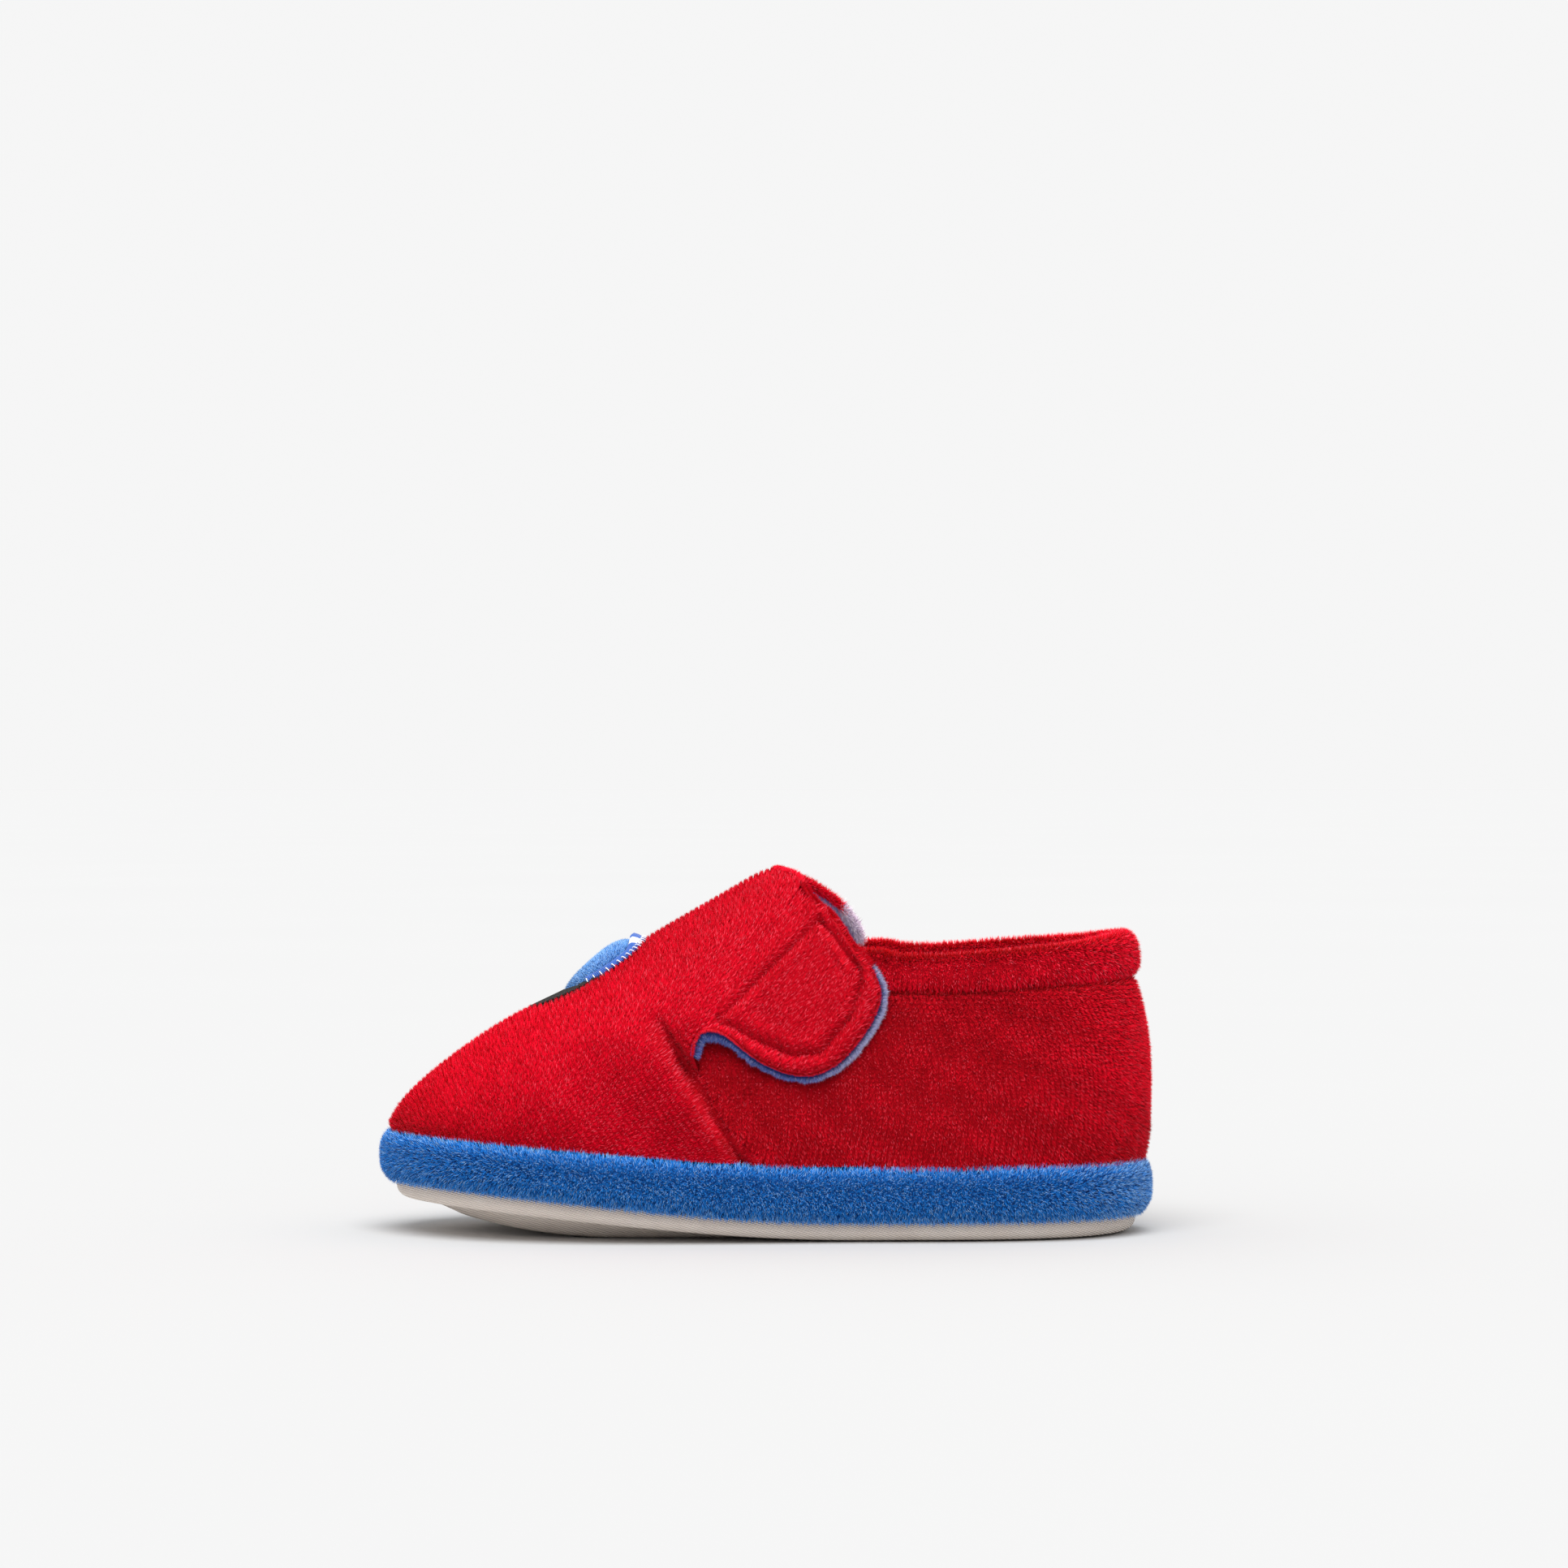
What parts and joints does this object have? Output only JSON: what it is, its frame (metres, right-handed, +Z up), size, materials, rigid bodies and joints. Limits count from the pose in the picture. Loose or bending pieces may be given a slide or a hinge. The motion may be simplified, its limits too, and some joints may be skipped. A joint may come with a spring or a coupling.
{
  "type": "fluffy slipper",
  "caption": "Child's plush house slipper for the left foot: hollow plush upper on a plush-wrapped platform and thin outsole, closed by an instep tab over the outer quarter, with a padded collar",
  "frame": {"origin": "on the floor, under the middle of the slipper's length and width", "axes": "+Z up; the toe points along -X and the heel along +X; the outer side of the foot is at -Y"},
  "size_m": [0.15, 0.0637, 0.0712],
  "materials": {
    "outsole": "matte cream rubber with fine ribs",
    "platform": "blue plush over foam",
    "insole": "periwinkle blue plush footbed",
    "upper": "red ribbed plush, blue lining inside",
    "collar": "red plush over a soft roll",
    "tab": "red ribbed plush, blue lining at its edge",
    "applique_base": "satin-stitched embroidery",
    "applique_pad": "blue plush over padding"
  },
  "bodies": {
    "root": {"outsole": "outsole", "platform": "platform", "insole": "insole", "upper": "upper", "collar": "collar", "tab": "tab", "applique_base": "applique_base", "applique_pad": "applique_pad"}
  },
  "joints": []
}
